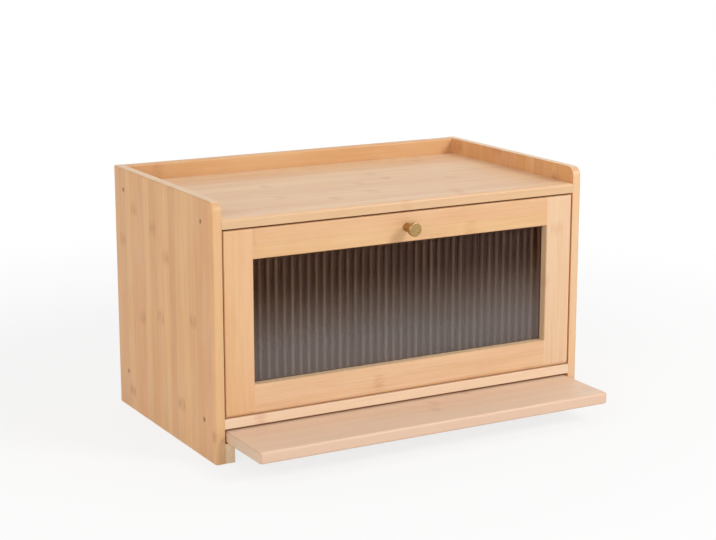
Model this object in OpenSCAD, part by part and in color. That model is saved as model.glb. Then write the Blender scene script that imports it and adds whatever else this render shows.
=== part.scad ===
// Countertop bread box in laminated bamboo, with a drop-down door that holds a reeded clear pane,
// a galleried top and a cutting board that slides out from under the bread compartment.
// Millimetres. X runs across the front, +Y to the back and +Z up. The origin is on the floor, in the
// middle of the back panel's foot. The door is shut and the cutting board is drawn part of the way out.

/* [Carcass] */
// Overall width over the two side panels
box_w = 420; // [340:1:520]
// Depth of the side panels
box_d = 245; // [210:1:320]
// Height of the side panels and of the back panel
box_h = 255; // [215:1:340]
// Thickness of the carcass boards
board_t = 10; // [8:0.5:14]
// Height of the gallery above the top panel
gallery_h = 17; // [8:0.5:30]
// Radius of the upper front corner of each side panel
gallery_r = 10; // [5:0.5:22]
// Round on the outer arrises of the side panels
outer_arris = 2.5; // [0.5:0.5:4]
// Round on the inner front arrises of the side panels
inner_arris = 0.5; // [0.25:0.25:3]
// Round on the upper front edge of the top panel
top_arris = 3; // [0.5:0.5:5]
// Round on the upper edges of the back panel
back_arris = 2; // [0.5:0.5:3]
// Round on the small arrises of the inner boards
small_arris = 0.5; // [0.25:0.25:2]

/* [Vents in the back panel] */
// Number of vent holes
vent_count = 5; // [1:1:9]
// Diameter of each vent hole
vent_d = 8; // [5:0.5:12]
// Spacing of the vent holes
vent_pitch = 28; // [16:1:40]
// Depth of the vent row below the top panel
vent_drop = 24; // [14:1:50]

/* [Cutting board bay] */
// Height of the runners that carry the cutting board
runner_h = 19.5; // [12:0.5:30]
// Width of each runner
runner_w = 10; // [8:0.5:16]
// Clear height between the runners and the bottom panel
slot_h = 14.5; // [13:0.5:18]
// Thickness of the cutting board
cut_t = 12; // [9:0.5:13]
// Gap at each side of the cutting board
cut_side_gap = 1.5; // [0.8:0.1:3]
// Gap behind the cutting board when it is pushed home
cut_back_gap = 0.5; // [0.3:0.1:3]
// Running gap under the cutting board
cut_lift = 0.2; // [0.1:0.1:0.4]
// Distance that the cutting board is drawn out
cut_out = 72; // [0:1:140]
// Radius of the cutting board's corners
cut_r = 4; // [2.5:0.5:10]
// Round on the cutting board's arrises
cut_arris = 2.5; // [1:0.5:2.5]

/* [Door frame] */
// Thickness of the door frame
door_t = 15; // [14:0.5:18]
// Gap at each side of the door
door_side_gap = 1.5; // [1.4:0.1:3]
// Gap above the door
door_top_gap = 1.7; // [1:0.1:4]
// Gap below the door
door_foot_gap = 0.6; // [0.5:0.1:2]
// Width of the two stiles
stile_w = 30.5; // [28:0.5:50]
// Height of the two rails
rail_w = 29.5; // [27:0.1:40]
// Wood left in front of the pane
lip_t = 9; // [7:0.25:9.5]
// Width of the rebate that the pane lies in
rebate_w = 6; // [4:0.5:8]
// Round on the outer front arrises of the door
door_arris = 1.5; // [0.5:0.25:3]
// Splay cut round the front of the window
window_splay = 0.6; // [0.2:0.1:1.5]
// Diameter of the dowels in the frame's corners
dowel_d = 6; // [4:0.5:7]
// Length of the dowels
dowel_l = 24; // [16:1:30]
// Distance from a rail's outer edge to its first dowel
dowel_edge = 6.5; // [5:0.5:8]
// Spacing of the two dowels in a corner
dowel_pitch = 12; // [8:0.5:14]

/* [Reeded pane] */
// Thickness of the pane over its reeds
pane_t = 3; // [2.5:0.25:4]
// Spacing of the reeds
reed_pitch = 8.7; // [5:0.1:14]
// Height of the reeds above the grooves between them
reed_h = 1; // [0.4:0.1:1.4]
// Gap round the edge of the pane
pane_gap = 0.5; // [0.2:0.1:1]
// Round on the beads that hold the pane
bead_arris = 1.5; // [0.5:0.25:1.75]

/* [Hinge] */
// Height of the pin axis above the door's lower edge
hinge_up = 4; // [3:0.5:6]
// Gap left between the open door and the bottom panel
landing_gap = 0.2; // [0.1:0.1:0.4]
// Diameter of the hinge pins
pin_d = 3; // [2:0.5:4]
// Length of each pin inside the door
pin_in_door = 12; // [8:1:15]
// Running gap between pin and bush, on the radius
pin_gap = 0.06; // [0.02:0.01:0.1]
// Wall of the bush
bush_wall = 1.2; // [0.8:0.1:1.6]
// Depth of the bush in the side panel
bush_l = 6; // [4:0.5:7]
// Thickness of the bush's flange
flange_t = 1.2; // [0.8:0.1:1.3]
// Width of the flange beyond the bush
flange_w = 1; // [0.5:0.1:1.4]

/* [Knob] */
// Diameter of the knob's head
knob_d = 14; // [11:0.5:20]
// Distance that the knob stands out from the door
knob_l = 17; // [14:0.5:24]
// Length of the knob's head
knob_head_l = 5; // [4:0.5:12]
// Diameter of the knob's foot
knob_foot_d = 9; // [8:0.5:13]
// Diameter of the knob's waist
knob_waist_d = 7.5; // [6:0.5:8]
// Chamfer on the rims of the head
knob_chamfer = 0.8; // [0.3:0.1:1.5]
// Diameter of the knob's screw
knob_screw_d = 4; // [3:0.5:4.5]
// Length of thread inside the knob
knob_thread_l = 9; // [6:0.5:11]
// Diameter of the knob screw's head
knob_screw_head_d = 8; // [6:0.5:10]
// Height of the knob screw's head
knob_screw_head_h = 2.4; // [1.5:0.1:4]

/* [Magnetic catches] */
// Distance of each catch from the side panel
catch_inset = 80; // [50:1:140]
// Width of the catch block
catch_w = 36; // [24:1:60]
// Depth of the catch block
catch_d = 12; // [10:0.5:20]
// Height of the catch block
catch_h = 18; // [16:0.5:24]
// Gap between the shut door and the catch block
catch_gap = 0.3; // [0.2:0.1:1]
// Diameter of the magnet
magnet_d = 8; // [5:0.5:10]
// Thickness of the magnet
magnet_t = 3; // [2:0.5:5]
// Diameter of the strike plate on the door
strike_d = 10; // [8:0.5:12]
// Thickness of the strike plate
strike_t = 1.2; // [0.8:0.1:2]

/* [Fixings] */
// Diameter of the wood screws' heads
screw_head_d = 5.5; // [4.5:0.5:7]
// Diameter of the wood screws
screw_d = 3; // [2.5:0.5:4]
// Length of the screws through the sides and the back
long_screw_l = 30; // [24:1:40]
// Distance of the side screws from the front and back edges
side_screw_inset = 26; // [18:1:60]
// Distance of the outer back screws from the side panels
back_screw_inset = 50; // [30:1:140]
// Length of the runner screws
runner_screw_l = 16; // [13:0.5:18]
// Distance of the outer runner screws from the runner's ends
runner_screw_inset = 40; // [20:1:100]
// Length of the catch screws
catch_screw_l = 24; // [21:0.5:26]
// Depth of a screw head below the wood's surface
head_sink = 0.3; // [0:0.1:0.6]
// Gap round pieces that are pressed or glued in
fixed_gap = 0.03; // [0.02:0.01:0.1]

/* [Hidden] */
$fn = 64;

// Colours of the materials
side_bamboo = [0.84, 0.66, 0.48];
front_bamboo = [0.93, 0.77, 0.59];
board_bamboo = [0.87, 0.75, 0.65];
clear_acrylic = [0.75, 0.80, 0.82, 0.4];
satin_brass = [0.72, 0.60, 0.36];
bronze_steel = [0.30, 0.20, 0.13];
bright_steel = [0.70, 0.71, 0.73];
brown_nylon = [0.46, 0.33, 0.22];

// Cutters reach this far past the face that they cut
over = 1;

// Levels and faces of the carcass. The back panel stands astride the origin
back_y = board_t / 2;
front_y = back_y - box_d;
inner_x = box_w / 2 - board_t;
panel_d = box_d - board_t;
slot_top = runner_h + slot_h;
bread_floor = slot_top + board_t;
top_face = box_h - gallery_h;
top_under = top_face - board_t;

// The door, seen from its own lower front edge
door_z = bread_floor + door_foot_gap;
door_w = 2 * (inner_x - door_side_gap);
door_h = top_under - door_top_gap - door_z;
window_w = door_w - 2 * stile_w;
window_h = door_h - 2 * rail_w;
rebate_x = window_w / 2 + rebate_w;
rebate_z0 = rail_w - rebate_w;
rebate_z1 = door_h - rail_w + rebate_w;
pane_w = 2 * (rebate_x - pane_gap);
pane_h = rebate_z1 - rebate_z0 - 2 * pane_gap;
bead_t = door_t - lip_t - pane_t;
knob_z = door_h - rail_w / 2;

// The pin stands as far behind the door's face as it stands above the bottom panel, less the landing
// gap, so the open door comes down flat on the panel
hinge_in = hinge_up + door_foot_gap - landing_gap;
hinge_y = front_y + hinge_in;
hinge_z = door_z + hinge_up;
bush_r = pin_d / 2 + pin_gap + bush_wall;

// One reed is an arc over its pitch with the reed's height
reed_r = (reed_pitch * reed_pitch / 4 + reed_h * reed_h) / (2 * reed_h);
reeds_each_side = ceil(pane_w / 2 / reed_pitch);

// The catches, under the top panel and behind the door
catch_x = inner_x - catch_inset;
catch_y = front_y + door_t + catch_gap;
catch_z = top_under - catch_h / 2;

// The cutting board fills the bay between the runners' walls
cut_w = 2 * (inner_x - cut_side_gap);
cut_d = panel_d - cut_back_gap;

// ---- Shared forms ----

// Draws a section of (Y, Z) and runs it along +X
module along_x(length) {
    rotate([90, 0, 90]) linear_extrude(length) children();
}

// Draws a section of (X, Z) and runs it along +Y
module along_y(length) {
    translate([0, length, 0]) rotate([90, 0, 0]) linear_extrude(length) children();
}

// What a round of radius r takes off a corner that lies at the origin
module corner_waste(r) {
    difference() {
        translate([-over, -over]) square(r + over);
        translate([r, r]) circle(r);
    }
}

// Rectangle with its own round at each corner: lower left, lower right, upper right, upper left
module eased_rect(w, h, ll = 0, lr = 0, ur = 0, ul = 0) {
    difference() {
        square([w, h]);
        if (ll > 0) corner_waste(ll);
        if (lr > 0) translate([w, 0]) mirror([1, 0]) corner_waste(lr);
        if (ur > 0) translate([w, h]) rotate(180) corner_waste(ur);
        if (ul > 0) translate([0, h]) mirror([0, 1]) corner_waste(ul);
    }
}

// Slab with turned corners of radius r, and arrises of radius e that follow them round
module turned_slab(w, d, t, r, e) {
    translate([r, 0, 0]) along_x(w - 2 * r) eased_rect(d, t, e, e, e, e);
    translate([0, r, 0]) along_y(d - 2 * r) eased_rect(w, t, e, e, e, e);
    for (x = [r, w - r], y = [r, d - r])
        translate([x, y, 0]) rotate_extrude() eased_rect(r, t, 0, e, e, 0);
}

// Half outline of a countersunk screw along +Z, widened by gap
module screw_outline(length, gap = 0) {
    head_r = screw_head_d / 2 + gap;
    shank_r = screw_d / 2 + gap;
    cone_h = (screw_head_d - screw_d) / 2;
    point_h = screw_d;
    polygon([
        [0, 0], [head_r, 0], [head_r, head_sink], [shank_r, head_sink + cone_h],
        [shank_r, length - point_h], [shank_r / 4, length + gap], [0, length + gap]
    ]);
}

// Countersunk screw with a cross recess, its head's top at the origin
module wood_screw(length) {
    recess_w = screw_head_d / 8;
    recess_l = screw_head_d * 0.6;
    recess_h = screw_head_d / 4;
    translate([0, 0, head_sink]) difference() {
        rotate_extrude() screw_outline(length - head_sink);
        for (turn = [0, 90]) rotate(turn)
            translate([-recess_l / 2, -recess_w / 2, -over]) cube([recess_l, recess_w, recess_h + over]);
    }
}

// Hole for that screw, open above its head
module screw_hole(length) {
    translate([0, 0, head_sink]) rotate_extrude() screw_outline(length - head_sink, fixed_gap);
    translate([0, 0, -over]) cylinder(r = screw_head_d / 2 + fixed_gap, h = over + head_sink);
}

// Places of the screws, each with +Z pointing into the wood. Side -1 is the left and 1 the right
module at_side_screws(side) {
    for (y = [front_y + side_screw_inset, back_y - side_screw_inset])
        for (z = [slot_top + board_t / 2, top_under + board_t / 2])
            translate([side * box_w / 2, y, z]) rotate([0, -side * 90, 0]) children();
}

module at_back_screws() {
    outer_x = inner_x - back_screw_inset;
    for (x = [-outer_x, 0, outer_x], z = [slot_top + board_t / 2, top_under + board_t / 2])
        translate([x, back_y, z]) rotate([90, 0, 0]) children();
}

module at_runner_screws(side) {
    for (along = [runner_screw_inset, panel_d / 2, panel_d - runner_screw_inset])
        translate([side * (inner_x - runner_w), front_y + along, runner_h / 2])
            rotate([0, side * 90, 0]) children();
}

module at_catch_screws(side) {
    translate([side * catch_x, catch_y + (catch_d + magnet_t) / 2, top_under - catch_h]) children();
}

// ---- Carcass ----

// Side panel with its outer face at x = 0 and its front edge at y = 0. The upper front corner is a
// turned quarter, so both arrises follow the curve of the gallery
module side_blank() {
    intersection() {
        along_x(board_t) difference() {
            square([box_d, box_h]);
            translate([-over, box_h - gallery_r]) square(gallery_r + over);
        }
        linear_extrude(box_h) eased_rect(board_t, box_d, outer_arris, inner_arris, 0, outer_arris);
        along_y(box_d) eased_rect(board_t, box_h, 0, 0, inner_arris, outer_arris);
    }
    translate([0, gallery_r, box_h - gallery_r]) rotate([180, -90, 0])
        rotate_extrude(angle = 90) eased_rect(gallery_r, board_t, 0, outer_arris, inner_arris, 0);
}

// The left panel in place, with holes for its screws and its bush
module left_side() {
    difference() {
        translate([-box_w / 2, front_y, 0]) side_blank();
        at_side_screws(-1) screw_hole(long_screw_l);
        at_runner_screws(-1) screw_hole(runner_screw_l);
        translate([-inner_x + over, hinge_y, hinge_z]) rotate([0, -90, 0])
            cylinder(r = bush_r + fixed_gap, h = bush_l + over + fixed_gap);
    }
}

module left_side_panel() {
    color(side_bamboo) left_side();
}

module right_side_panel() {
    color(side_bamboo) mirror([1, 0, 0]) left_side();
}

// Board between the sides with its underside at height z
module cross_board(z, arris) {
    difference() {
        translate([-inner_x, front_y, z]) along_x(2 * inner_x)
            eased_rect(panel_d, board_t, small_arris, 0, 0, arris);
        for (side = [-1, 1]) at_side_screws(side) screw_hole(long_screw_l);
        at_back_screws() screw_hole(long_screw_l);
    }
}

module top_panel() {
    color(front_bamboo) difference() {
        cross_board(top_under, top_arris);
        for (side = [-1, 1]) at_catch_screws(side) screw_hole(catch_screw_l);
    }
}

module bottom_panel() {
    color(front_bamboo) cross_board(slot_top, small_arris);
}

module back_panel() {
    color(side_bamboo) difference() {
        translate([-inner_x, back_y - board_t, 0]) along_x(2 * inner_x)
            eased_rect(board_t, box_h, 0, 0, back_arris, back_arris);
        at_back_screws() screw_hole(long_screw_l);
        for (i = [0:vent_count - 1])
            translate([(i - (vent_count - 1) / 2) * vent_pitch, back_y + over, top_under - vent_drop])
                rotate([90, 0, 0]) cylinder(d = vent_d, h = board_t + 2 * over);
    }
}

module runner(side) {
    color(side_bamboo) difference() {
        mirror([side > 0 ? 1 : 0, 0, 0]) translate([-inner_x, front_y, 0]) along_y(panel_d)
            eased_rect(runner_w, runner_h, 0, small_arris, 0, 0);
        at_runner_screws(side) screw_hole(runner_screw_l);
    }
}

module left_runner() {
    runner(-1);
}

module right_runner() {
    runner(1);
}

module left_side_screws() {
    color(bronze_steel) at_side_screws(-1) wood_screw(long_screw_l);
}

module right_side_screws() {
    color(bronze_steel) at_side_screws(1) wood_screw(long_screw_l);
}

module back_screws() {
    color(bronze_steel) at_back_screws() wood_screw(long_screw_l);
}

module runner_screws() {
    color(bronze_steel) for (side = [-1, 1]) at_runner_screws(side) wood_screw(runner_screw_l);
}

// ---- Magnetic catches ----

module catch_block(side) {
    color(side_bamboo) difference() {
        translate([side * catch_x - catch_w / 2, catch_y, top_under - catch_h]) along_x(catch_w)
            eased_rect(catch_d, catch_h, small_arris, small_arris, 0, 0);
        translate([side * catch_x, catch_y - over, catch_z]) rotate([-90, 0, 0])
            cylinder(r = magnet_d / 2 + fixed_gap, h = magnet_t + over + fixed_gap);
        at_catch_screws(side) screw_hole(catch_screw_l);
    }
}

module left_catch_block() {
    catch_block(-1);
}

module right_catch_block() {
    catch_block(1);
}

module catch_magnets() {
    color(bright_steel) for (side = [-1, 1])
        translate([side * catch_x, catch_y, catch_z]) rotate([-90, 0, 0])
            cylinder(d = magnet_d, h = magnet_t);
}

module catch_screws() {
    color(bronze_steel) for (side = [-1, 1]) at_catch_screws(side) wood_screw(catch_screw_l);
}

// Where a strike plate lies on the back of the door, with +Z pointing to the front
module at_strikes() {
    for (side = [-1, 1])
        translate([side * catch_x, front_y + door_t, catch_z]) rotate([90, 0, 0]) children();
}

module strike_plates() {
    color(bright_steel) at_strikes() cylinder(d = strike_d, h = strike_t);
}

// ---- Door ----

// Places a piece drawn from the middle of the door's lower front edge
module on_door() {
    translate([0, front_y, door_z]) children();
}

// Section of the door. Its lower front edge is an arc about the pin, which rolls over the bottom panel
module door_section() {
    difference() {
        eased_rect(door_t, door_h, 0, 0, 0, door_arris);
        difference() {
            translate([-over, -over]) square([hinge_in + over, hinge_up + over]);
            translate([hinge_in, hinge_up]) circle(hinge_in);
        }
    }
}

// The window's opening, the splay round its front and the rebate behind the lip
module window_cut() {
    splay_reach = window_splay + over;
    translate([-window_w / 2, -over, rail_w]) cube([window_w, door_t + 2 * over, window_h]);
    intersection() {
        translate([-door_w / 2, 0, 0]) along_x(door_w) polygon([
            [-over, rail_w - splay_reach], [window_splay, rail_w],
            [window_splay, rail_w + window_h], [-over, rail_w + window_h + splay_reach]
        ]);
        linear_extrude(door_h) polygon([
            [-window_w / 2 - splay_reach, -over], [window_w / 2 + splay_reach, -over],
            [window_w / 2, window_splay], [-window_w / 2, window_splay]
        ]);
    }
    translate([-rebate_x, lip_t, rebate_z0])
        cube([2 * rebate_x, door_t, rebate_z1 - rebate_z0]);
}

// Places of the dowels along X, across the four joints of the frame
module at_dowels() {
    for (side = [-1, 1], reach = [dowel_edge, dowel_edge + dowel_pitch], z = [reach, door_h - reach])
        translate([side * window_w / 2, lip_t / 2, z]) rotate([0, 90, 0]) children();
}

module dowel_holes() {
    at_dowels() cylinder(r = dowel_d / 2 + fixed_gap, h = dowel_l + 2 * fixed_gap, center = true);
}

// Stile on the left, with the hole for its hinge pin
module stile_blank() {
    difference() {
        intersection() {
            translate([-door_w / 2, 0, 0]) along_x(stile_w) door_section();
            translate([-door_w / 2, 0, 0]) linear_extrude(door_h)
                eased_rect(stile_w, door_t, door_arris, 0, 0, 0);
        }
        window_cut();
        dowel_holes();
        translate([-door_w / 2 - over, hinge_in, hinge_up]) rotate([0, 90, 0])
            cylinder(r = pin_d / 2 + fixed_gap, h = pin_in_door + over + fixed_gap);
    }
}

module left_stile() {
    color(front_bamboo) on_door() stile_blank();
}

module right_stile() {
    color(front_bamboo) on_door() mirror([1, 0, 0]) stile_blank();
}

// Length of rail between the stiles, over the band of height that starts at z
module rail_blank(z) {
    difference() {
        intersection() {
            translate([-window_w / 2, 0, 0]) along_x(window_w) door_section();
            translate([-window_w / 2, -over, z]) cube([window_w, door_t + 2 * over, rail_w]);
        }
        window_cut();
        dowel_holes();
    }
}

module top_rail() {
    color(front_bamboo) difference() {
        on_door() rail_blank(door_h - rail_w);
        on_door() translate([0, door_t + over, knob_z]) rotate([90, 0, 0])
            cylinder(r = knob_screw_d / 2 + fixed_gap, h = door_t + 2 * over);
        at_strikes() translate([0, 0, -over])
            cylinder(r = strike_d / 2 + fixed_gap, h = strike_t + over + fixed_gap);
    }
}

module bottom_rail() {
    color(front_bamboo) on_door() rail_blank(0);
}

module door_dowels() {
    chamfer = dowel_d / 8;
    color(side_bamboo) on_door() at_dowels() rotate_extrude() polygon([
        [0, -dowel_l / 2], [dowel_d / 2 - chamfer, -dowel_l / 2], [dowel_d / 2, chamfer - dowel_l / 2],
        [dowel_d / 2, dowel_l / 2 - chamfer], [dowel_d / 2 - chamfer, dowel_l / 2], [0, dowel_l / 2]
    ]);
}

// ---- Pane ----

// Section of the pane: a row of arcs side by side, cut off flat at the back
module reed_section() {
    intersection() {
        translate([-pane_w / 2, 0]) square([pane_w, pane_t]);
        for (i = [-reeds_each_side:reeds_each_side])
            translate([i * reed_pitch, reed_r]) circle(reed_r);
    }
}

module reeded_pane() {
    color(clear_acrylic) on_door() translate([0, lip_t, rebate_z0 + pane_gap])
        linear_extrude(pane_h) reed_section();
}

// Bead along +X that fills the rebate behind the pane. Its long edge is at z = 0 and its ends are mitred
module bead(length) {
    translate([0, door_t - bead_t, 0]) intersection() {
        translate([-length / 2, 0, 0]) along_x(length) eased_rect(bead_t, rebate_w, 0, 0, bead_arris, 0);
        along_y(bead_t) polygon([
            [-length / 2, 0], [length / 2, 0],
            [length / 2 - rebate_w, rebate_w], [rebate_w - length / 2, rebate_w]
        ]);
    }
}

module bottom_bead() {
    color(front_bamboo) on_door() translate([0, 0, rebate_z0]) bead(2 * rebate_x);
}

module top_bead() {
    color(front_bamboo) on_door() translate([0, 0, rebate_z1]) mirror([0, 0, 1]) bead(2 * rebate_x);
}

module left_bead() {
    color(front_bamboo) on_door() translate([-rebate_x, 0, (rebate_z0 + rebate_z1) / 2])
        rotate([0, 90, 0]) bead(rebate_z1 - rebate_z0);
}

module right_bead() {
    color(front_bamboo) on_door() translate([rebate_x, 0, (rebate_z0 + rebate_z1) / 2])
        rotate([0, -90, 0]) bead(rebate_z1 - rebate_z0);
}

// ---- Knob ----

// Half outline of the knob: a foot, a waist and a head with chamfered rims
module knob_outline() {
    foot_r = knob_foot_d / 2;
    waist_r = knob_waist_d / 2;
    head_r = knob_d / 2;
    neck_l = knob_l - knob_head_l;
    scoop_r = neck_l / 2 * 0.85;
    difference() {
        square([foot_r, neck_l]);
        translate([waist_r + scoop_r, neck_l / 2]) circle(scoop_r);
    }
    polygon([
        [0, neck_l], [head_r - knob_chamfer, neck_l], [head_r, neck_l + knob_chamfer],
        [head_r, knob_l - knob_chamfer], [head_r - knob_chamfer, knob_l], [0, knob_l]
    ]);
}

module door_knob() {
    color(satin_brass) on_door() translate([0, 0, knob_z]) rotate([90, 0, 0]) difference() {
        rotate_extrude() knob_outline();
        translate([0, 0, -over])
            cylinder(r = knob_screw_d / 2 + fixed_gap, h = knob_thread_l + over + fixed_gap);
    }
}

module knob_screw() {
    color(bright_steel) on_door() translate([0, door_t, knob_z]) rotate([90, 0, 0]) difference() {
        union() {
            cylinder(d = knob_screw_d, h = door_t + knob_thread_l);
            translate([0, 0, -knob_screw_head_h]) cylinder(d = knob_screw_head_d, h = knob_screw_head_h);
        }
        for (turn = [0, 90]) rotate(turn)
            translate([-knob_screw_head_d * 0.3, -knob_screw_head_d / 16, -knob_screw_head_h - over])
                cube([knob_screw_head_d * 0.6, knob_screw_head_d / 8, knob_screw_head_h / 2 + over]);
    }
}

// ---- Hinge ----

// Bush on the left, open to the right, with a flange that fills the gap beside the door
module bush() {
    translate([-inner_x, hinge_y, hinge_z]) rotate([0, 90, 0]) difference() {
        union() {
            translate([0, 0, -bush_l]) cylinder(r = bush_r, h = bush_l);
            cylinder(r = bush_r + flange_w, h = flange_t);
        }
        translate([0, 0, -bush_l - over])
            cylinder(r = pin_d / 2 + pin_gap, h = bush_l + flange_t + 2 * over);
    }
}

// Pin on the left, from the end of its hole in the stile to just short of the end of the bush
module pin() {
    tip_gap = 0.5;
    translate([tip_gap - bush_l - inner_x, hinge_y, hinge_z]) rotate([0, 90, 0])
        cylinder(d = pin_d, h = bush_l - tip_gap + door_side_gap + pin_in_door);
}

module left_hinge_bush() {
    color(brown_nylon) bush();
}

module right_hinge_bush() {
    color(brown_nylon) mirror([1, 0, 0]) bush();
}

module left_hinge_pin() {
    color(bright_steel) pin();
}

module right_hinge_pin() {
    color(bright_steel) mirror([1, 0, 0]) pin();
}

// ---- Cutting board ----

module cutting_board() {
    color(board_bamboo) translate([-cut_w / 2, front_y - cut_out, runner_h + cut_lift])
        turned_slab(cut_w, cut_d, cut_t, cut_r, cut_arris);
}

left_side_panel();
right_side_panel();
top_panel();
bottom_panel();
back_panel();
left_runner();
right_runner();
left_side_screws();
right_side_screws();
back_screws();
runner_screws();
left_catch_block();
right_catch_block();
catch_magnets();
catch_screws();
left_hinge_bush();
right_hinge_bush();
left_stile();
right_stile();
top_rail();
bottom_rail();
door_dowels();
reeded_pane();
top_bead();
bottom_bead();
left_bead();
right_bead();
strike_plates();
door_knob();
knob_screw();
left_hinge_pin();
right_hinge_pin();
cutting_board();
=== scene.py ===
# %% [markdown]
# # A bamboo bread box, finished on its construction model
#
# The construction model already holds every board, screw, pin and joint at its true size. This
# lesson dresses it: bamboo laid up in strips, a reeded clear door pane, a turned brass knob and
# small metal parts, under plain studio light. A script could also rebuild the boards here, but
# their shapes are right as they are, so only what gains from a finer surface is made again: the
# pane, whose reeds have to bend light cleanly, and the knob, whose turned outline has to shine
# without facets.

from math import radians

import bpy
import numpy as np
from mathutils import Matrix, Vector


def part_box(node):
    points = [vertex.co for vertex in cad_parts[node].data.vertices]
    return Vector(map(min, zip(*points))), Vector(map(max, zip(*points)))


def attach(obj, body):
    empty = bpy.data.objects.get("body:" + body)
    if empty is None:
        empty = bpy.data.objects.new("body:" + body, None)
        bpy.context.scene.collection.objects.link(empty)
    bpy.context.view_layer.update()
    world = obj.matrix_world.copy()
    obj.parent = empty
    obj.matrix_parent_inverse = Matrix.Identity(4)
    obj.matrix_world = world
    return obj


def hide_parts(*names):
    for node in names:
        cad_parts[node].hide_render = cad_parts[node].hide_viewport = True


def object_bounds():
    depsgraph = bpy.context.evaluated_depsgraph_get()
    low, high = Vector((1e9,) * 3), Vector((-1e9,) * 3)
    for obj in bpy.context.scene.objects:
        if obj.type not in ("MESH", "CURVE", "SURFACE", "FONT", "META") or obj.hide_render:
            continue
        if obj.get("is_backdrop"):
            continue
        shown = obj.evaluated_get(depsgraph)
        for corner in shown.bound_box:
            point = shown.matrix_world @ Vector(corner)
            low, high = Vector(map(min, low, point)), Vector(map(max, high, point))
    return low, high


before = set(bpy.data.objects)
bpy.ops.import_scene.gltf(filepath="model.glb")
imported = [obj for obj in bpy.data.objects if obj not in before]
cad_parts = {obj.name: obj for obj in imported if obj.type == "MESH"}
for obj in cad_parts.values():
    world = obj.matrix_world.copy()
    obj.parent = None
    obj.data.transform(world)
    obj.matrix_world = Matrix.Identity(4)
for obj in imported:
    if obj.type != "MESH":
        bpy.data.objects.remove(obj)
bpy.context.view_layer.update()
mm = 0.001

# %% [markdown]
# ## Colours
#
# Colours are easiest to pick as the red, green and blue that a screen shows, from 0 to 255.
# Shaders count light instead, so each value is turned into linear light once, here, and every
# finish below is written with screen values.


# %% Turn screen colours into linear light
def light_of(red, green, blue):
    """Screen value s, from 0 to 1, in linear light: s / 12.92 below 0.04045, and otherwise
    ((s + 0.055) / 1.055) ** 2.4."""
    s = np.array([red, green, blue]) / 255
    linear = np.where(s < 0.04045, s / 12.92, ((s + 0.055) / 1.055) ** 2.4)
    return (*linear.tolist(), 1.0)


pure_white = light_of(255, 255, 255)
straw = light_of(233, 197, 154)
print("white and straw in linear light:", [[round(v, 3) for v in c] for c in (pure_white, straw)])

# %% [markdown]
# ## Writing shader nodes briefly
#
# A material is a graph of nodes. Placing them by hand in the editor is one way to build it; in a
# script, a few helpers that add one node, fill its inputs and give back its output keep each
# finish readable as a list of steps, so the grain below reads in the order in which it is built
# up.


# %% Helpers that add one node at a time
def fill(tree, socket, value):
    """Links value into socket if value is a node's output, and otherwise sets it there."""
    if isinstance(value, bpy.types.NodeSocket):
        tree.links.new(value, socket)
    else:
        socket.default_value = value


def add(tree, kind, inputs, **settings):
    """Adds a node of that kind with its settings, and fills the inputs by name or number."""
    node = tree.nodes.new("ShaderNode" + kind)
    for key, value in settings.items():
        setattr(node, key, value)
    for key, value in inputs.items():
        fill(tree, node.inputs[key], value)
    return node


def sum_up(tree, operation, *values):
    """One Math node: operation on one, two or three values."""
    return add(tree, "Math", dict(enumerate(values)), operation=operation).outputs[0]


def span(tree, value, low, high, to_low, to_high):
    """Maps low..high smoothly to to_low..to_high, and holds the ends outside it."""
    inputs = {
        "Value": value, "From Min": low, "From Max": high, "To Min": to_low, "To Max": to_high,
    }
    return add(tree, "MapRange", inputs, interpolation_type="SMOOTHSTEP").outputs["Result"]


def tint(tree, share, first, second):
    """The first colour, blended towards the second by share."""
    node = add(tree, "Mix", {"Factor": share}, data_type="RGBA")
    fill(tree, node.inputs[6], first)
    fill(tree, node.inputs[7], second)
    return node.outputs[2]


print("node helpers:", ", ".join(helper.__name__ for helper in (fill, add, sum_up, span, tint)))


# %% Helpers that start a finish and put it on a part
def new_finish(name):
    """A material with an empty graph, and its output node."""
    material = bpy.data.materials.new(name)
    material.use_nodes = True
    material.node_tree.nodes.clear()
    return material, material.node_tree, add(material.node_tree, "OutputMaterial", {})


def wear(node_name, material):
    """Gives a part of the construction model this finish in place of its plain one."""
    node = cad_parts[node_name]
    for place in node.material_slots:
        place.material = material


print("parts that wait for a finish:", len(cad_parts))

# %% [markdown]
# ## The studio
#
# The photograph is a shop picture: the box on white, under one large soft light from the right
# and front, with a weaker one on the left side, a broad one overhead and a low one that reaches
# under the drawn board. White could come from flooding the floor with light, but that would
# bleach the wood, so only what the camera sees of the floor and the world is lifted to white, and
# the lamps stay at a level at which wood keeps its own colour.


# %% Paper that keeps a soft shadow and fades to white
def seen_directly(tree):
    """1 where the camera looks, straight or by way of metal and clear plastic, and 0 for light
    that a matt surface gathers."""
    path = add(tree, "LightPath", {}).outputs
    seen = sum_up(tree, "MAXIMUM", path["Is Camera Ray"], path["Is Glossy Ray"])
    seen = sum_up(tree, "MAXIMUM", seen, path["Is Transmission Ray"])
    return sum_up(tree, "MULTIPLY", seen, sum_up(tree, "LESS_THAN", path["Diffuse Depth"], 0.5))


fade_from, fade_to, near_lift = 0.30, 0.90, 0.80
paper, tree, out = new_finish("white_paper")
place = add(tree, "TexCoord", {}).outputs["Object"]
far = add(tree, "VectorMath", {0: place}, operation="LENGTH").outputs["Value"]
faded = span(tree, far, fade_from, fade_to, near_lift, 1.0)
lift = sum_up(tree, "MULTIPLY", seen_directly(tree), faded)
matt = add(tree, "BsdfDiffuse", {"Color": light_of(240, 240, 239)}).outputs[0]
white = add(tree, "Emission", {"Color": pure_white, "Strength": 1.0}).outputs[0]
mixed = add(tree, "MixShader", {0: lift, 1: matt, 2: white}).outputs[0]
fill(tree, out.inputs["Surface"], mixed)
print("paper is lifted by", near_lift, "near the box and is white from", fade_to, "m on")

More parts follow.
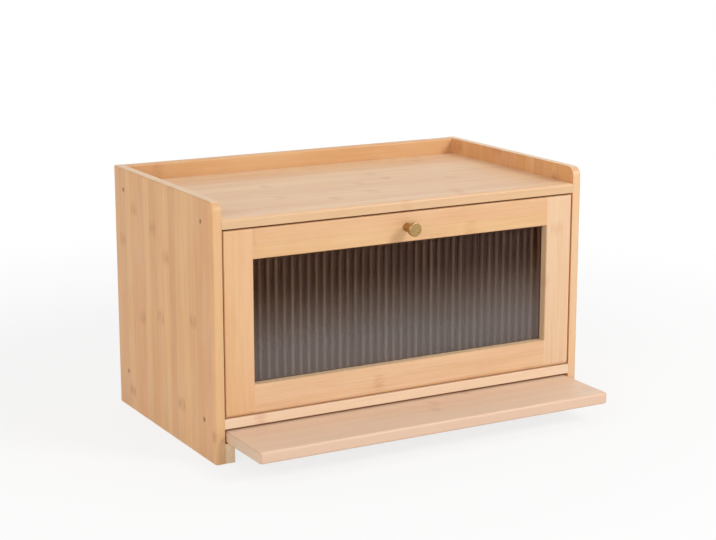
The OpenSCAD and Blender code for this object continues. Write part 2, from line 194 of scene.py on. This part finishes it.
# %% The floor
reach, floor_z = 9.0, -0.4 * mm
square = ((-1, -1), (1, -1), (1, 1), (-1, 1))
floor_mesh = bpy.data.meshes.new("floor")
floor_mesh.from_pydata([(reach * i, reach * j, floor_z) for i, j in square], [], [(0, 1, 2, 3)])
floor_mesh.materials.append(paper)
floor = bpy.data.objects.new("floor", floor_mesh)
bpy.context.scene.collection.objects.link(floor)
floor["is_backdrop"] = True
print("floor is", 2 * reach, "m wide and lies", -floor_z / mm, "mm under the feet")

# %% World: dim for the wood, white where it is seen
ambient = 0.31
world = bpy.data.worlds.new("studio")
bpy.context.scene.world = world
world.use_nodes = True
tree = world.node_tree
tree.nodes.clear()
strength = sum_up(tree, "MULTIPLY_ADD", seen_directly(tree), 1.0 - ambient, ambient)
sky = add(tree, "Background", {"Color": pure_white, "Strength": strength}).outputs[0]
fill(tree, add(tree, "OutputWorld", {}).inputs["Surface"], sky)
print("world gives the wood", ambient, "of full light")

# %% Four soft lamps
lit_point = np.array([0.0, -0.12, 0.13])


def soft_lamp(name, towards, far, size, share):
    """Square lamp on the line from the box along towards. Its power gives the share of full light
    on a face turned to it: a lamp of P watts lights a face at distance d to P / (pi d) ** 2."""
    way = np.array(towards, float)
    way /= np.linalg.norm(way)
    lamp = bpy.data.lights.new(name, "AREA")
    lamp.size = size
    lamp.energy = share * (np.pi * far) ** 2
    holder = bpy.data.objects.new(name, lamp)
    holder.location = lit_point + way * far
    holder.rotation_euler = Vector(way).to_track_quat("Z", "Y").to_euler()
    bpy.context.scene.collection.objects.link(holder)
    print(name, "at", np.round(lit_point + way * far, 2), "gives", share, "of full light")


soft_lamp("key", towards=(0.50, -0.72, 0.55), far=2.3, size=0.7, share=0.46)
soft_lamp("left_fill", towards=(-0.90, -0.45, 0.40), far=3.0, size=2.0, share=0.29)
soft_lamp("low_front", towards=(-0.35, -1.0, 0.05), far=3.0, size=0.6, share=0.15)
soft_lamp("overhead", towards=(0.05, 0.25, 1.0), far=2.6, size=2.0, share=0.26)

# %% [markdown]
# ## The camera
#
# The picture was taken from the left of the front and a little above. Its place was solved from
# the straight edges of the box: the corners of the carcass and of the door have to fall where the
# photograph has them, which fixes where the lens stands, where it looks and how long it is.

# %% Place the camera where the photograph was taken
looks_down, looks_right = 12.746, 29.172
lens = bpy.data.cameras.new("photograph")
lens.sensor_width = 36.0
lens.lens = 87.9
lens.clip_start, lens.clip_end = 0.05, 40.0
camera = bpy.data.objects.new("photograph", lens)
camera.location = (-0.8649, -1.6905, 0.5500)
camera.rotation_euler = (radians(90 - looks_down), 0.0, radians(-looks_right))
bpy.context.scene.collection.objects.link(camera)
bpy.context.scene.camera = camera
bpy.context.scene.view_settings.view_transform = "Standard"
print("camera looks down by", looks_down, "degrees and to the right by", looks_right)

# %% [markdown]
# ## Bamboo board
#
# A bamboo board is glued up from strips about 16 mm wide, split from the wall of the stem. Each
# strip keeps its own tint, carries fine dark fibres along its length and, where the stem had a
# joint, a diffuse brown mark; neighbouring strips are shifted, so the marks never line up. At a
# board's ends the fibres are cut across and show as dots. An image of wood would repeat and could
# not turn over an edge, so the grain is worked out in space: along, across and through the board.

# %% Directions of the grain
axis_number = {"X": 0, "Y": 1, "Z": 2}
seed_shift = (0.731, 1.137, 0.417)


def grain_space(tree, along, across, seed):
    """The grain: three lengths in metres, along it, across it and through the board. The object's
    own X, Y and Z are dealt out to them and shifted by the seed. Then three values from 0 to 1:
    how far the face looks along the grain, 1 on narrow faces and 1 on eased edges."""
    coords = add(tree, "TexCoord", {}).outputs
    point = add(tree, "SeparateXYZ", {0: coords["Object"]}).outputs
    facing = add(tree, "SeparateXYZ", {0: coords["Normal"]}).outputs
    axes = (axis_number[along], axis_number[across])
    axes += (3 - sum(axes),)
    grain = [sum_up(tree, "ADD", point[n], shift * seed) for n, shift in zip(axes, seed_shift)]
    end, side, flat = [sum_up(tree, "ABSOLUTE", facing[n]) for n in axes]
    narrow = span(tree, flat, 0.3, 0.8, 1.0, 0.0)
    squarest = sum_up(tree, "MAXIMUM", sum_up(tree, "MAXIMUM", flat, side), end)
    eased = span(tree, squarest, 0.80, 0.985, 1.0, 0.0)
    return grain, end, narrow, eased


def stretched(tree, grain, along, across, **settings):
    """Noise from 0 to 1 whose spots are 1 / along long and 1 / across wide, in metres."""
    place = [sum_up(tree, "MULTIPLY", x, s) for x, s in zip(grain, (along, across, across))]
    vector = add(tree, "CombineXYZ", dict(enumerate(place))).outputs[0]
    inputs = {"Vector": vector, "Scale": 1.0, "Detail": 3.0, "Roughness": 0.6, **settings}
    return add(tree, "TexNoise", inputs).outputs["Fac"]


print("each board's pattern starts", [round(v / mm) for v in seed_shift], "mm on from the last")

# %% Strips, stem joints and end dots
strip_w = 16 * mm
joint_pitch, joint_h, joint_waver = 420 * mm, 10 * mm, 7 * mm
waver_spots, patch_spots = (60, 160), (90, 220)
bundles_per_metre, bundle_squeeze = 950.0, 8.0


def strips_of(tree, v):
    """Each strip's own three chances, once with soft edges for tints and once with crisp ones,
    and the distance to the nearest seam between two strips."""
    inputs = {"W": v, "Scale": 1 / strip_w, "Randomness": 0.12}

    def cells(feature, **more):
        every = {**inputs, **more}
        return add(tree, "TexVoronoi", every, voronoi_dimensions="1D", feature=feature).outputs

    coloured = (cells("SMOOTH_F1", Smoothness=0.10), cells("F1"))
    soft, crisp = [add(tree, "SeparateColor", {0: strip["Color"]}).outputs for strip in coloured]
    return soft, crisp, cells("DISTANCE_TO_EDGE")["Distance"]


def joint_marks(tree, grain, chance):
    """1 in the middle of a stem joint and 0 away from it. The joints of a strip are joint_pitch
    apart and shifted by its chance, so the distance to the nearest, for a place u along it that
    wavers a little, is joint_pitch * |fraction(u / joint_pitch + chance) - 1/2|."""
    waver = stretched(tree, grain, *waver_spots)
    u = sum_up(tree, "MULTIPLY_ADD", waver, joint_waver, grain[0])
    turns = sum_up(tree, "FRACT", sum_up(tree, "MULTIPLY_ADD", u, 1 / joint_pitch, chance))
    off = sum_up(tree, "ABSOLUTE", sum_up(tree, "SUBTRACT", turns, 0.5))
    band = span(tree, sum_up(tree, "MULTIPLY", off, joint_pitch), 0.0, joint_h, 1.0, 0.0)
    patchy = span(tree, stretched(tree, grain, *patch_spots), 0.3, 0.7, 0.35, 1.0)
    return sum_up(tree, "MULTIPLY", band, patchy)


def end_dots(tree, grain):
    """1 in the middle of a bundle of fibres and 0 between two, for a face that cuts them across:
    the distance to the nearest of the points that each cell of a fine grid holds. The cells are
    short along the grain, so the two ends of a board differ."""
    u, v, w = grain
    place = {0: sum_up(tree, "MULTIPLY", u, bundle_squeeze), 1: v, 2: w}
    inputs = {"Vector": add(tree, "CombineXYZ", place).outputs[0], "Scale": bundles_per_metre}
    away = add(tree, "TexVoronoi", inputs).outputs["Distance"]
    return span(tree, away, 0.12, 0.42, 1.0, 0.0)


print("strips are", strip_w / mm, "mm wide, and their joints", joint_pitch / mm, "mm apart")

# %% The bamboo finish
rosy = light_of(222, 171, 136)
streak_brown, fibre_brown = light_of(214, 160, 106), light_of(186, 132, 82)
cloud_cream, glue_brown = light_of(246, 214, 168), light_of(176, 122, 76)
joint_brown, dot_brown = light_of(178, 100, 50), light_of(150, 100, 62)
# The second colour is painted shade for the eased edges: browner, to dull the lamps' highlight.
cut_cream, edge_painted_shade = light_of(243, 217, 182), light_of(206, 150, 98)
# The edge tints are painted light and painted shade on narrow faces, over their own cut tone.
edge_painted_light = light_of(226, 194, 156)
# How many spots of noise there are in a metre, along the grain and across it.
streak_spots, fibre_spots, cloud_spots, gloss_spots = (5, 170), (14, 1300), (9, 30), (30, 420)


def bamboo(
    name, along, across, seed, pale, deep,
    contrast=1.0, blush=rosy, joints=0.2, sawn_and_painted_light=0.0, edge=edge_painted_light,
):
    """Lacquered bamboo with its fibres along one axis and its strips side by side across another.
    The colour starts between pale and deep by each strip's chance, and each pattern then blends
    it towards its own tint. Cut ends are paler. Narrow faces blend towards the edge tint by the
    share that each board sets: partly their own cut tone, partly painted light and painted shade.
    The eased edges are painted browner, as painted shade that dulls the lamps' highlight there."""
    material, tree, out = new_finish(name)
    grain, end, narrow, eased = grain_space(tree, along, across, seed)
    soft, crisp, seam = strips_of(tree, grain[1])
    streaks = span(tree, stretched(tree, grain, *streak_spots), 0.35, 0.72, 0.0, 1.0)
    fibres = span(tree, stretched(tree, grain, *fibre_spots), 0.42, 0.70, 0.0, 1.0)
    clouds = span(tree, stretched(tree, grain, *cloud_spots), 0.35, 0.65, 0.0, 1.0)
    glue = span(tree, seam, 0.0, 0.022, 1.0, 0.0)
    marks = joint_marks(tree, grain, crisp[2])
    cut = span(tree, end, 0.75, 0.95, 0.0, 1.0)
    dots = sum_up(tree, "MULTIPLY", end_dots(tree, grain), cut)

    colour = tint(tree, soft[0], pale, deep)
    for pattern, share, towards in (
        (soft[1], 0.42 * contrast, blush),
        (streaks, 0.34 * contrast, streak_brown),
        (fibres, 0.22 * contrast, fibre_brown),
        (clouds, 0.14 * contrast, cloud_cream),
        (glue, 0.16 * contrast, glue_brown),
        (marks, joints, joint_brown),
        # narrow faces: partly their own tone, partly painted light and painted shade
        (narrow, sawn_and_painted_light, edge),
        (cut, 0.42, cut_cream),
        # painted shade: eased edges browner, to dull the lamps' highlight along them
        (eased, 0.30, edge_painted_shade),
        (dots, 0.36, dot_brown),
    ):
        colour = tint(tree, sum_up(tree, "MULTIPLY", pattern, share), colour, towards)

    relief = sum_up(tree, "MULTIPLY_ADD", fibres, -0.6, sum_up(tree, "MULTIPLY", streaks, -0.4))
    bump = {"Height": relief, "Strength": 0.22, "Distance": 0.12 * mm}
    gloss = stretched(tree, grain, *gloss_spots)
    inputs = {
        "Base Color": colour,
        "Roughness": span(tree, gloss, 0.3, 0.7, 0.40, 0.50),
        "Normal": add(tree, "Bump", bump).outputs[0],
        "IOR": 1.46,
        "Coat Weight": 0.12,
        "Coat Roughness": 0.30,
    }
    fill(tree, out.inputs["Surface"], add(tree, "BsdfPrincipled", inputs).outputs[0])
    return material


for pattern, spots in (("streaks", streak_spots), ("fibres", fibre_spots), ("clouds", cloud_spots)):
    print(pattern, "are", [round(1 / n / mm, 1) for n in spots], "mm long and wide")

# %% [markdown]
# ## Which way each board runs
#
# The side panels' strips stand upright, as the photograph shows; the top, the bottom, the back
# and the cutting board run from side to side. In the door the stiles stand and the rails lie, so
# the grain turns at each butt joint. One shared material would run the same strips through every
# joint, so each board gets its own start in the pattern. The cutting board is paler and pinker,
# since it is oiled and not lacquered.

# %% Colours of the boards, pale and deep
side = light_of(243, 189, 124), light_of(229, 166, 101)
# The runners' very pale colours are painted light, lifting their front ends where the cutting board
# shades them.
foot = light_of(251, 230, 202), light_of(247, 220, 187)
wheaten = light_of(236, 204, 166), light_of(227, 186, 143)
milky = light_of(241, 219, 191), light_of(235, 207, 177)
golden = straw, light_of(219, 171, 119)
biscuit = light_of(234, 201, 163), light_of(227, 185, 142)
honey = straw, light_of(223, 178, 130)
caramel = light_of(227, 178, 125), light_of(215, 165, 108)
toasted = light_of(229, 184, 136), light_of(219, 171, 119)
# The right stile's paler colour is painted light for the brighter right side of the door.
creamy_painted_light = light_of(237, 208, 175), light_of(229, 196, 160)
oiled = light_of(240, 213, 190), light_of(234, 204, 177)
amber = light_of(232, 162, 118)
# Painted shade: darker edge tints for the lit front edges of the left side panel, the top panel and
# the cutting board. Painted light: a paler one for the bottom rail's shaded sill.
left_edge_painted_shade, top_edge_painted_shade = light_of(209, 176, 135), light_of(212, 172, 128)
sill_painted_light, board_edge_painted_shade = light_of(250, 214, 168), light_of(215, 178, 152)
print("the side panels' strips lie between", *([round(v, 2) for v in c] for c in side))

# %% Dress the boards
standing = {"contrast": 1.15, "blush": amber, "joints": 0.45}
lying = {"joints": 0.28}
boards = (
    # The edge tint shares below paint light on the right side panel's edges and on the sill, and
    # paint shade on the other front edges.
    ("left_side_panel", "ZY", side, {**standing, "sawn_and_painted_light": 0.5, "edge": left_edge_painted_shade}),
    ("right_side_panel", "ZY", side, {**standing, "sawn_and_painted_light": 0.65}),
    ("left_runner", "YZ", foot, {}),
    ("right_runner", "YZ", foot, {}),
    ("top_panel", "XY", wheaten, {**lying, "contrast": 1.2, "sawn_and_painted_light": 0.6, "edge": top_edge_painted_shade}),
    ("bottom_panel", "XY", milky, {**lying, "contrast": 0.5}),
    ("top_rail", "XZ", golden, {**lying, "contrast": 1.2}),
    ("bottom_rail", "XZ", biscuit, {**lying, "contrast": 1.2, "sawn_and_painted_light": 0.85, "edge": sill_painted_light}),
    ("top_bead", "XZ", honey, lying),
    ("bottom_bead", "XZ", honey, lying),
    ("back_panel", "XZ", caramel, lying),
    ("left_stile", "ZX", toasted, {"contrast": 0.9}),
    ("right_stile", "ZX", creamy_painted_light, {"contrast": 0.9}),
    ("left_bead", "ZX", honey, {"contrast": 0.9}),
    ("right_bead", "ZX", honey, {"contrast": 0.9}),
    ("left_catch_block", "XZ", side, {"blush": amber}),
    ("right_catch_block", "XZ", side, {"blush": amber}),
    ("door_dowels", "XZ", side, {"blush": amber}),
    ("cutting_board", "XY", oiled, {"contrast": 0.5, "sawn_and_painted_light": 0.6, "edge": board_edge_painted_shade}),
)
for seed, (node, (along, across), (pale, deep), own) in enumerate(boards, 1):
    wear(node, bamboo("bamboo_" + node, along, across, seed, pale, deep, **own))
print("boards dressed:", len(boards))

# %% [markdown]
# ## Surfaces from arrays
#
# The pane and the knob are surfaces of two parameters. numpy works out all their points at once,
# and the mesh takes them as one block, which is faster than adding points one by one and keeps
# the formula in sight.


# %% Turn a grid of points into a mesh
def grid_faces(rows, columns, closed):
    """Quads of a grid of points, numbered row by row. closed joins the last row to the first."""
    firsts = np.arange(rows if closed else rows - 1)
    i, j = np.meshgrid(firsts, np.arange(columns - 1), indexing="ij")
    here, below = i * columns + j, (i + 1) % rows * columns + j
    return np.stack([here, here + 1, below + 1, below], -1).reshape(-1, 4)


def make_piece(name, points, faces, body, stands_for, material, crease):
    """Makes the object, with edges sharper than crease degrees kept crisp, and lets it ride on
    its body in place of the part that it stands for."""
    mesh = bpy.data.meshes.new(name)
    mesh.from_pydata(points.tolist(), [], faces.tolist())
    mesh.polygons.foreach_set("use_smooth", np.ones(len(mesh.polygons), bool))
    mesh.set_sharp_from_angle(angle=radians(crease))
    mesh.materials.append(material)
    mesh.validate()
    piece = bpy.data.objects.new(name, mesh)
    bpy.context.scene.collection.objects.link(piece)
    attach(piece, body)
    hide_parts(stands_for)
    size = [round(v / mm, 1) for v in piece.dimensions]
    print(name, "has", len(mesh.polygons), "faces and is", size, "mm")


print("a grid of 2 rows and 3 columns has the faces", grid_faces(2, 3, closed=False).tolist())

# %% [markdown]
# ## Reeded pane
#
# The door's pane is clear acrylic with upright reeds on its face: each reed is a shallow lens
# that smears what lies behind it sideways, so the inside shows as upright streaks. A flat pane
# with a wavy bump would only pretend that; here each reed is a true arc, with the groove between
# two reeds eased as moulding leaves it, and the light is bent by the shape itself.

# %% The pane's section and its sweep
reed_pitch, reed_rise, groove_ease = 8.7 * mm, 1.0 * mm, 0.45 * mm
point_gap = 0.35 * mm


def reed_depth(x, pitch, rise, ease):
    """Depth of the face below the crests: R - sqrt(R^2 - d^2) for the distance d to the nearest
    crest, with R = (pitch^2 / 4 + rise^2) / (2 rise). Within ease of a groove the slope falls
    evenly to zero."""
    bend = (pitch**2 / 4 + rise**2) / (2 * rise)
    d = np.abs((x + pitch / 2) % pitch - pitch / 2)
    last = pitch / 2 - ease
    slope = last / np.sqrt(bend**2 - last**2)
    arc = bend - np.sqrt(bend**2 - np.minimum(d, last) ** 2)
    over = np.maximum(d - last, 0)
    return arc + slope * over * (1 - over / (2 * ease))


pane_low, pane_high = (np.array(v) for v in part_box("reeded_pane"))
steps = int(round((pane_high[0] - pane_low[0]) / point_gap))
x = np.linspace(pane_low[0], pane_high[0], steps)
face = pane_low[1] + reed_depth(x, reed_pitch, reed_rise, groove_ease)
back = np.full_like(x, pane_high[1])
foot_z, head_z = (np.full_like(x, z) for z in (pane_low[2], pane_high[2]))
loop_x = np.stack([x, x, x, x])
loop_y = np.stack([face, face, back, back])
loop_z = np.stack([foot_z, head_z, head_z, foot_z])
pane_points = np.stack([loop_x, loop_y, loop_z], -1).reshape(-1, 3)
around = grid_faces(4, steps, closed=True)
ends = np.array([[0, 1, 2, 3]]) * steps
pane_faces = np.concatenate([around, ends, ends[:, ::-1] + steps - 1])
reeds = (pane_high[0] - pane_low[0]) / reed_pitch
print("the pane has", round(reeds, 1), "reeds,", round(np.ptp(face) / mm, 2), "mm deep")

# %% [markdown]
# Clear acrylic is almost all transmission: a low roughness, the plastic's own refractive index,
# and a faint warm grey. A band of matt pale paint along each reed's crest is a painted reflection,
# which draws the reeds as thin pale lines before a dark inside. A pale matt film lies on the
# face too, denser towards the foot of the pane.

# %% The pane's clear plastic, its painted crest reflection and its pale film
crest_painted_sheen, line_from, line_to = 0.065, 0.3 * mm, 1.9 * mm
film_haze, film_foot, film_top = 0.080, 92 * mm, 176 * mm
sheen_patch_spots = (7, 70)

acrylic, tree, out = new_finish("clear_acrylic")
inputs = {
    "Base Color": light_of(236, 230, 222),
    "Roughness": 0.14,
    "IOR": 1.49,
    "Transmission Weight": 1.0,
    "Specular Tint": (0.08, 0.08, 0.08, 1.0),
}
bent = add(tree, "BsdfPrincipled", inputs).outputs[0]
coords = add(tree, "TexCoord", {}).outputs
spot = add(tree, "SeparateXYZ", {0: coords["Object"]}).outputs
outward = add(tree, "SeparateXYZ", {0: coords["Normal"]}).outputs[1]
from_crest = sum_up(tree, "PINGPONG", spot[0], reed_pitch / 2)
along_reeds = (spot[2], spot[0], spot[1])
sheen_patches = stretched(tree, along_reeds, *sheen_patch_spots, Detail=1.0)
# painted reflection: a pale matt band along each crest
line = span(tree, from_crest, line_from, line_to, crest_painted_sheen, 0.0)
lines = sum_up(tree, "MULTIPLY", line, span(tree, sheen_patches, 0.3, 0.7, 0.55, 1.0))
low = span(tree, spot[2], film_foot, film_top, 1.0, 0.0)
film = sum_up(tree, "MULTIPLY", low, film_haze)
on_face = sum_up(tree, "LESS_THAN", outward, -0.5)
# share of matt pale paint: the painted crest reflection plus the film
pale_painted = sum_up(tree, "MULTIPLY", sum_up(tree, "ADD", lines, film), on_face)
pale_paint_colour = tint(tree, low, light_of(232, 196, 164), light_of(224, 214, 212))
# matt pale paint for the painted crest reflection and the film
pale_matt_paint = add(tree, "BsdfDiffuse", {"Color": pale_paint_colour}).outputs[0]
clear = add(tree, "MixShader", {0: pale_painted, 1: bent, 2: pale_matt_paint}).outputs[0]
print("the crests are hazed by", crest_painted_sheen, "and the foot of the pane by", film_haze)

# %% [markdown]
# Light for the inside would stop at such a surface, because a path tracer can't aim through a
# lens, so shadow rays, and rays that have left a matt surface, pass straight through. A full box
# is dim, so such a ray is dimmed where it enters the pane by its flat side, from the inside.
# Under the lowered door it enters by the reeds and keeps its strength, so the cutting board there
# is lit as it is elsewhere.

# %% Light for the inside
kept_light, dimmed_light = (0.97, 0.97, 0.96, 1.0), (0.080, 0.038, 0.013, 1.0)

path = add(tree, "LightPath", {}).outputs
matt_before = sum_up(tree, "GREATER_THAN", path["Diffuse Depth"], 0.5)
gathers = sum_up(tree, "MAXIMUM", path["Is Shadow Ray"], matt_before)
enters = sum_up(tree, "SUBTRACT", 1.0, add(tree, "NewGeometry", {}).outputs["Backfacing"])
flat_side = sum_up(tree, "GREATER_THAN", outward, 0.5)
by_flat_side = sum_up(tree, "MULTIPLY", enters, flat_side)
passes = tint(tree, by_flat_side, kept_light, dimmed_light)
passed = add(tree, "BsdfTransparent", {"Color": passes}).outputs[0]
surface = add(tree, "MixShader", {0: gathers, 1: clear, 2: passed}).outputs[0]
fill(tree, out.inputs["Surface"], surface)
make_piece(
    "reeded_pane_clear", pane_points, pane_faces, body="door",
    stands_for="reeded_pane", material=acrylic, crease=32.0,
)

# %% [markdown]
# ## Turned knob
#
# The knob is turned from brass bar: a foot on the door, a scooped waist, and a drum head with
# eased rims. It is its outline carried round its own axis. The lathe leaves rings so fine that
# they only soften the shine, so they go into the finish and not into the mesh.


# %% Helpers for turned work
def rounded(corners, radii, steps=8):
    """Outline through the corners, each replaced by an arc of its radius: a circle that touches
    both sides, drawn from one touching point to the other."""
    run = []
    for before, at, after, r in zip(corners, corners[1:], corners[2:], radii):
        a = (before - at) / np.linalg.norm(before - at)
        b = (after - at) / np.linalg.norm(after - at)
        half = np.arccos(np.clip(a @ b, -1, 1)) / 2
        middle = at + (a + b) / np.linalg.norm(a + b) * r / np.sin(half)
        first, last = at + a * r / np.tan(half) - middle, at + b * r / np.tan(half) - middle
        t = np.linspace(0, 1, steps)[:, None]
        arc = first * (1 - t) + last * t
        run.append(middle + arc / np.linalg.norm(arc, axis=1, keepdims=True) * r)
    return np.concatenate(run)


def turn(outline, centre, sides):
    """Point (r, l) of the outline at angle a: centre + (r cos a, -l, r sin a), so the axis runs
    along -Y."""
    a = np.linspace(0, 2 * np.pi, sides, endpoint=False)[:, None]
    r, length = outline[None, :, 0], outline[None, :, 1]
    points = np.stack([r * np.cos(a), -length + 0 * a, r * np.sin(a)], -1).reshape(-1, 3)
    return points + np.array(centre)


square_corner = np.array([(0.0, 0.0), (1.0, 0.0), (1.0, 1.0)])
print("a square corner, rounded by a half:", rounded(square_corner, [0.5], 3).round(2).tolist())

# %% The knob's outline and its turn
knob_low, knob_high = (np.array(v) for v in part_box("door_knob"))
knob_r = (knob_high[0] - knob_low[0]) / 2
knob_l = knob_high[1] - knob_low[1]
foot_r, foot_top = 4.5 * mm, 1.6 * mm
waist_r, waist_from, waist_to = 3.75 * mm, 4.2 * mm, 7.6 * mm
head_back, slant, beyond = knob_l - 5 * mm, 0.3 * mm, 0.5 * mm
corners = np.array([
    (0, -beyond), (0, 0), (foot_r, 0), (foot_r, foot_top), (waist_r, waist_from),
    (waist_r, waist_to), (foot_r, head_back - slant), (knob_r - slant, head_back),
    (knob_r, knob_l), (0, knob_l), (0, knob_l + beyond),
])
radii = np.array([0.001, 0.15, 0.5, 1.4, 1.4, 0.3, 0.5, 0.8, 0.001]) * mm
outline = rounded(corners, radii)
outline[:, 0] = np.maximum(outline[:, 0], 1e-7)
sides = 96
knob_centre = ((knob_low[0] + knob_high[0]) / 2, knob_high[1], (knob_low[2] + knob_high[2]) / 2)
knob_points = turn(outline, knob_centre, sides)
knob_faces = grid_faces(sides, len(outline), closed=True)
print("the knob's outline has", len(outline), "points, and is turned in", sides, "steps")

# %% The brass finish
rings_per_metre = 5200.0

brass, tree, out = new_finish("satin_brass")
coords = add(tree, "TexCoord", {}).outputs["Object"]
place = add(tree, "VectorMath", {0: coords, 1: knob_centre}, operation="SUBTRACT").outputs[0]
flat = add(tree, "VectorMath", {0: place, 1: (1, 0, 1)}, operation="MULTIPLY").outputs[0]
radius = add(tree, "VectorMath", {0: flat}, operation="LENGTH").outputs["Value"]
depth = add(tree, "SeparateXYZ", {0: place}).outputs[1]
inputs = {"W": sum_up(tree, "ADD", radius, depth), "Scale": rings_per_metre, "Detail": 2.0}
rings = add(tree, "TexNoise", inputs, noise_dimensions="1D").outputs["Fac"]
hazy = add(tree, "TexNoise", {"Vector": coords, "Scale": 420.0, "Detail": 3.0}).outputs["Fac"]
worn = span(tree, hazy, 0.35, 0.7, 0.0, 1.0)
bump = {"Height": rings, "Strength": 0.25, "Distance": 0.02 * mm}
inputs = {
    "Base Color": tint(tree, worn, light_of(182, 150, 100), light_of(166, 134, 86)),
    "Metallic": 1.0,
    "Roughness": span(tree, rings, 0.3, 0.7, 0.24, 0.38),
    "Normal": add(tree, "Bump", bump).outputs[0],
}
fill(tree, out.inputs["Surface"], add(tree, "BsdfPrincipled", inputs).outputs[0])
make_piece(
    "turned_knob", knob_points, knob_faces, body="door", stands_for="door_knob",
    material=brass, crease=50.0,
)

# %% [markdown]
# ## Small metal and plastic parts
#
# The wood screws are bronzed steel, the magnets, strikes, pins and the knob's screw bright zinc,
# and the hinge bushes brown nylon. They are small, but they show once the door is down, so each
# gets the mottling its plating or moulding has, from noise at the scale of tenths of a
# millimetre.


# %% Finishes of the fixings
def speckled(name, first, second, rough, **constants):
    """Colour and roughness that wander between two values with fine noise."""
    material, tree, out = new_finish(name)
    coords = add(tree, "TexCoord", {}).outputs["Object"]
    fine, broad = [
        add(tree, "TexNoise", {"Vector": coords, "Scale": scale, "Detail": detail}).outputs["Fac"]
        for scale, detail in ((900.0, 4.0), (160.0, 2.0))
    ]
    mottled = sum_up(tree, "MULTIPLY_ADD", broad, 0.5, sum_up(tree, "MULTIPLY", fine, 0.5))
    bump = {"Height": fine, "Strength": 0.15, "Distance": 0.03 * mm}
    inputs = {
        "Base Color": tint(tree, span(tree, mottled, 0.38, 0.62, 0.0, 1.0), first, second),
        "Roughness": span(tree, fine, 0.3, 0.7, *rough),
        "Normal": add(tree, "Bump", bump).outputs[0],
        **constants,
    }
    fill(tree, out.inputs["Surface"], add(tree, "BsdfPrincipled", inputs).outputs[0])
    return material


bronze_light, bronze_dark = light_of(204, 158, 114), light_of(178, 134, 94)
zinc_light, zinc_dark = light_of(198, 200, 204), light_of(178, 181, 186)
nylon_light, nylon_dark = light_of(140, 100, 68), light_of(122, 86, 56)
bronze = speckled("bronzed_steel", bronze_light, bronze_dark, (0.38, 0.55), Metallic=0.1)
zinc = speckled("bright_zinc", zinc_light, zinc_dark, (0.24, 0.40), Metallic=1.0)
nylon = speckled("brown_nylon", nylon_light, nylon_dark, (0.45, 0.60))
screws = ("left_side_screws", "right_side_screws", "back_screws", "runner_screws", "catch_screws")
plated = ("catch_magnets", "strike_plates", "knob_screw", "left_hinge_pin", "right_hinge_pin")
bushes = ("left_hinge_bush", "right_hinge_bush")
for finish, nodes in ((bronze, screws), (zinc, plated), (nylon, bushes)):
    for node in nodes:
        wear(node, finish)
    print(finish.name, "on", ", ".join(nodes))

# %% [markdown]
# ## Measure the size and finish
#
# Dressing the model must not change its size, so its box is measured again.

# %% Measure and finish
low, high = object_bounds()
print("visual size in mm:", [round(v / mm, 1) for v in high - low])
